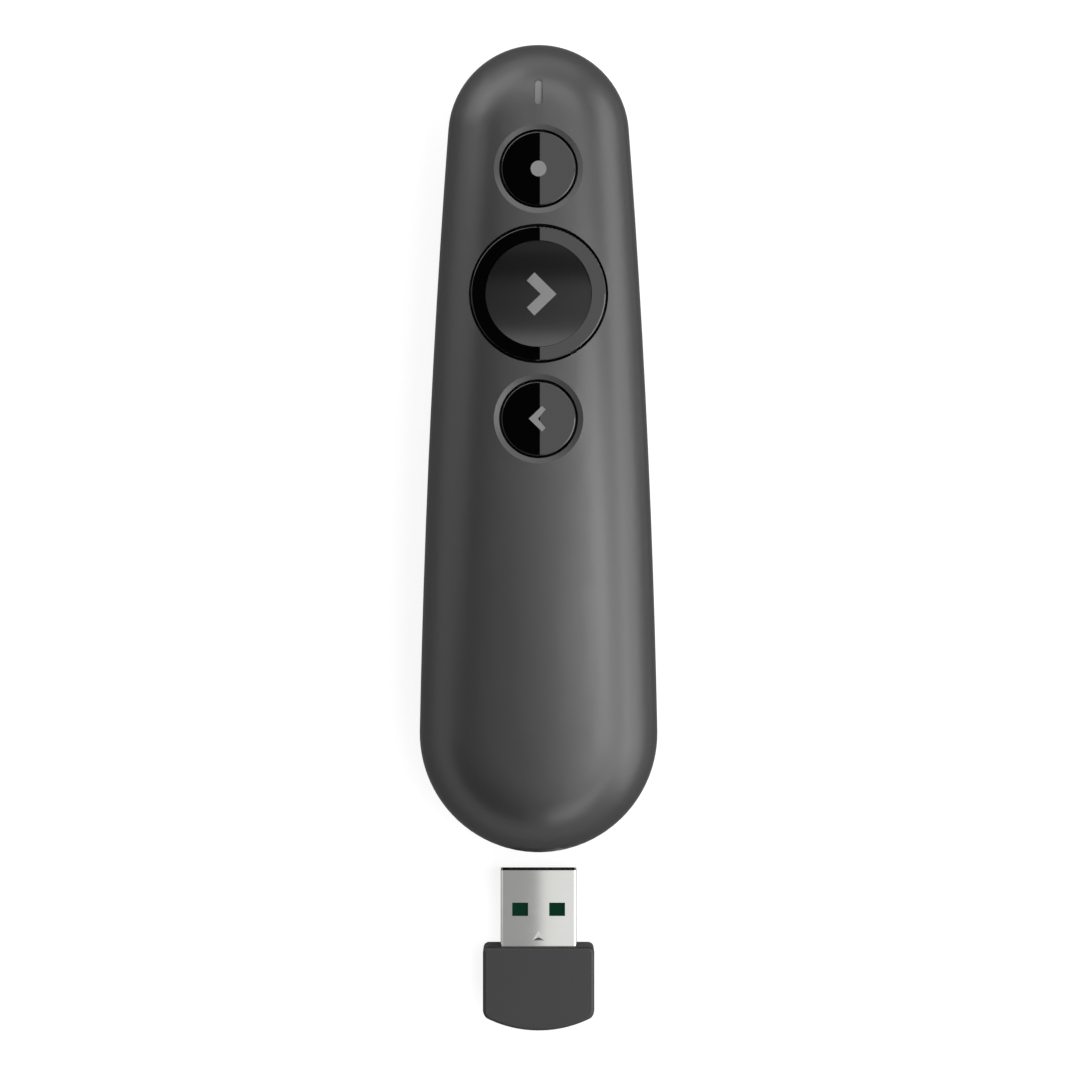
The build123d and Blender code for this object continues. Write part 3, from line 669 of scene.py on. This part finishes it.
# ---- Studio: floor, cards, lamps and camera ----
# A pale table, clear from below and to the lamp under it, and a white surround. A grey card and a
# black flag hang overhead and meet over the camera's axis, so each gloss cap mirrors both halves.
# Smaller cards and flags set the tone of the scoop, the tail and the plug.
camera_x, camera_y, camera_height = 0.22 * mm, -37.4 * mm, 480 * mm
focal_pixels, frame_pixels = 3003.8, 1080
sensor = 36.0
studio_height = 0.8


def plate(name, x_low, x_high, y_low, y_high, z, material, faces_down):
    """Flat staged card or floor."""
    shape = bmesh.new()
    bmesh.ops.create_grid(shape, x_segments=1, y_segments=1, size=0.5)
    bmesh.ops.scale(shape, vec=(x_high - x_low, y_high - y_low, 1), verts=shape.verts)
    bmesh.ops.translate(shape, vec=((x_low + x_high) / 2, (y_low + y_high) / 2, z), verts=shape.verts)
    if faces_down:
        bmesh.ops.reverse_faces(shape, faces=shape.faces)
    mesh = bpy.data.meshes.new(name)
    shape.to_mesh(mesh)
    shape.free()
    mesh.materials.append(material)
    card = bpy.data.objects.new(name, mesh)
    bpy.context.scene.collection.objects.link(card)
    return card


def card_material(name, strength):
    """Card that gives out an even light."""
    material = bpy.data.materials.new(name)
    material.use_nodes = True
    tree = material.node_tree
    tree.nodes.clear()
    glow = tree.nodes.new("ShaderNodeEmission")
    glow.inputs["Strength"].default_value = strength
    out = tree.nodes.new("ShaderNodeOutputMaterial")
    join(tree, glow.outputs["Emission"], out.inputs["Surface"])
    return material


table_grey, table_glow, table_drop, table_half = (0.22, 0.22, 0.22), 0.82, 0.05 * mm, 3
floor_material = bpy.data.materials.new("pale table")
floor_material.use_nodes = True
tree = floor_material.node_tree
tree.nodes.clear()
matt = tree.nodes.new("ShaderNodeBsdfDiffuse")
matt.inputs["Color"].default_value = (*table_grey, 1)
lift = tree.nodes.new("ShaderNodeEmission")
path = tree.nodes.new("ShaderNodeLightPath")
glow_seen = tree.nodes.new("ShaderNodeMath")
glow_seen.operation = "MULTIPLY"
glow_seen.inputs[1].default_value = table_glow
join(tree, path.outputs["Is Camera Ray"], glow_seen.inputs[0])
join(tree, glow_seen.outputs["Value"], lift.inputs["Strength"])
total = tree.nodes.new("ShaderNodeAddShader")
join(tree, matt.outputs["BSDF"], total.inputs[0])
join(tree, lift.outputs["Emission"], total.inputs[1])
clear = tree.nodes.new("ShaderNodeMath")
clear.operation = "MAXIMUM"
join(tree, tree.nodes.new("ShaderNodeNewGeometry").outputs["Backfacing"], clear.inputs[0])
join(tree, path.outputs["Is Shadow Ray"], clear.inputs[1])
under = tree.nodes.new("ShaderNodeMixShader")
join(tree, clear.outputs["Value"], under.inputs["Fac"])
join(tree, total.outputs["Shader"], under.inputs[1])
join(tree, tree.nodes.new("ShaderNodeBsdfTransparent").outputs["BSDF"], under.inputs[2])
out = tree.nodes.new("ShaderNodeOutputMaterial")
join(tree, under.outputs["Shader"], out.inputs["Surface"])
plate(
    "table", -table_half, table_half, -table_half, table_half, -table_drop, floor_material, faces_down=False
)

scoop_y, plug_nose_y, plug_tail_y, flag_edge_x = -0.012, -0.165, -0.225, 0.11
cards = (  # name, x from and to, y from and to, strength
    ("black_flag", -0.6, camera_x, plug_nose_y, 0.6, 0.0),
    ("grey_card", camera_x, 0.09, scoop_y, 0.6, 2.0),
    ("scoop_flag", camera_x, flag_edge_x, plug_nose_y, scoop_y, 0.0),
    ("tail_flag", -1.2, flag_edge_x, -1.2, plug_tail_y, 0.0),
    ("plug_dim_card", -0.06, camera_x, plug_tail_y, plug_nose_y, 0.5),
    ("plug_lit_card", camera_x, 0.06, plug_tail_y, plug_nose_y, 1.2),
)
for card_name, x_low, x_high, y_low, y_high, strength in cards:
    glowing = card_material(card_name, strength)
    hung = plate(card_name, x_low, x_high, y_low, y_high, studio_height, glowing, faces_down=True)
    hung.visible_camera = False


def soft_light(name, place, size, radiance, turn=0, tilt=0):
    """Area lamp of a given radiance, facing down, or turned about Y or tilted about X by degrees."""
    watts_per_area = 4 * radiance
    lamp = bpy.data.lights.new(name, "AREA")
    lamp.shape = "RECTANGLE"
    lamp.size, lamp.size_y = size
    lamp.energy = watts_per_area * lamp.size * lamp.size_y
    holder = bpy.data.objects.new(name, lamp)
    holder.location = place
    holder.rotation_euler = (math.radians(tilt), math.radians(turn), 0)
    bpy.context.scene.collection.objects.link(holder)
    holder.visible_camera = False


under_overhead, side_height = studio_height - 0.02, 0.42
soft_light("key_softbox", place=(0.28, -0.11, studio_height), size=(0.3, 0.34), radiance=6.4)
soft_light("side_softbox", place=(1.02, -0.3, studio_height), size=(1.16, 0.76), radiance=2.5)
soft_light("tail_softbox", place=(0.35, -0.85, studio_height), size=(0.5, 0.6), radiance=2.6)
soft_light("nose_softbox", place=(0.1, 0.5, under_overhead), size=(0.7, 0.44), radiance=2.4)
soft_light("corner_softbox", place=(-0.82, 1.0, under_overhead), size=(1.16, 1.0), radiance=2.4)
soft_light("right_softbox", place=(1.1, 0.0, side_height), size=(0.7, 1.8), radiance=2.3, turn=90)
soft_light("left_softbox", place=(-1.1, 0.9, side_height), size=(0.7, 1.0), radiance=1.7, turn=-90)
soft_light("front_softbox", place=(0.0, 1.2, side_height), size=(1.6, 0.7), radiance=0.9, tilt=-90)
soft_light("under_softbox", place=(0.0, -0.04, -0.6), size=(1.2, 1.2), radiance=1.4, tilt=180)

surround_fill = 0.48
world = bpy.data.worlds.new("studio")
world.use_nodes = True
bpy.context.scene.world = world
tree = world.node_tree
tree.nodes.clear()
seen = tree.nodes.new("ShaderNodeBackground")
seen.inputs["Color"].default_value = (1, 1, 1, 1)
seen.inputs["Strength"].default_value = 1.0
filling = tree.nodes.new("ShaderNodeBackground")
filling.inputs["Color"].default_value = (1, 1, 1, 1)
filling.inputs["Strength"].default_value = surround_fill
path = tree.nodes.new("ShaderNodeLightPath")
mirrored = tree.nodes.new("ShaderNodeMath")
mirrored.operation = "MAXIMUM"
join(tree, path.outputs["Is Glossy Ray"], mirrored.inputs[0])
join(tree, path.outputs["Is Transmission Ray"], mirrored.inputs[1])
plain = tree.nodes.new("ShaderNodeMath")
plain.operation = "MAXIMUM"
join(tree, path.outputs["Is Camera Ray"], plain.inputs[0])
join(tree, mirrored.outputs["Value"], plain.inputs[1])
choice = tree.nodes.new("ShaderNodeMixShader")
join(tree, plain.outputs["Value"], choice.inputs["Fac"])
join(tree, filling.outputs["Background"], choice.inputs[1])
join(tree, seen.outputs["Background"], choice.inputs[2])
out = tree.nodes.new("ShaderNodeOutputWorld")
join(tree, choice.outputs["Shader"], out.inputs["Surface"])

lens = bpy.data.cameras.new("camera")
lens.sensor_width = sensor
lens.lens = focal_pixels / frame_pixels * sensor
camera = bpy.data.objects.new("camera", lens)
camera.location = (camera_x, camera_y, camera_height)
bpy.context.scene.collection.objects.link(camera)
bpy.context.scene.camera = camera
bpy.context.scene.view_settings.view_transform = "Standard"
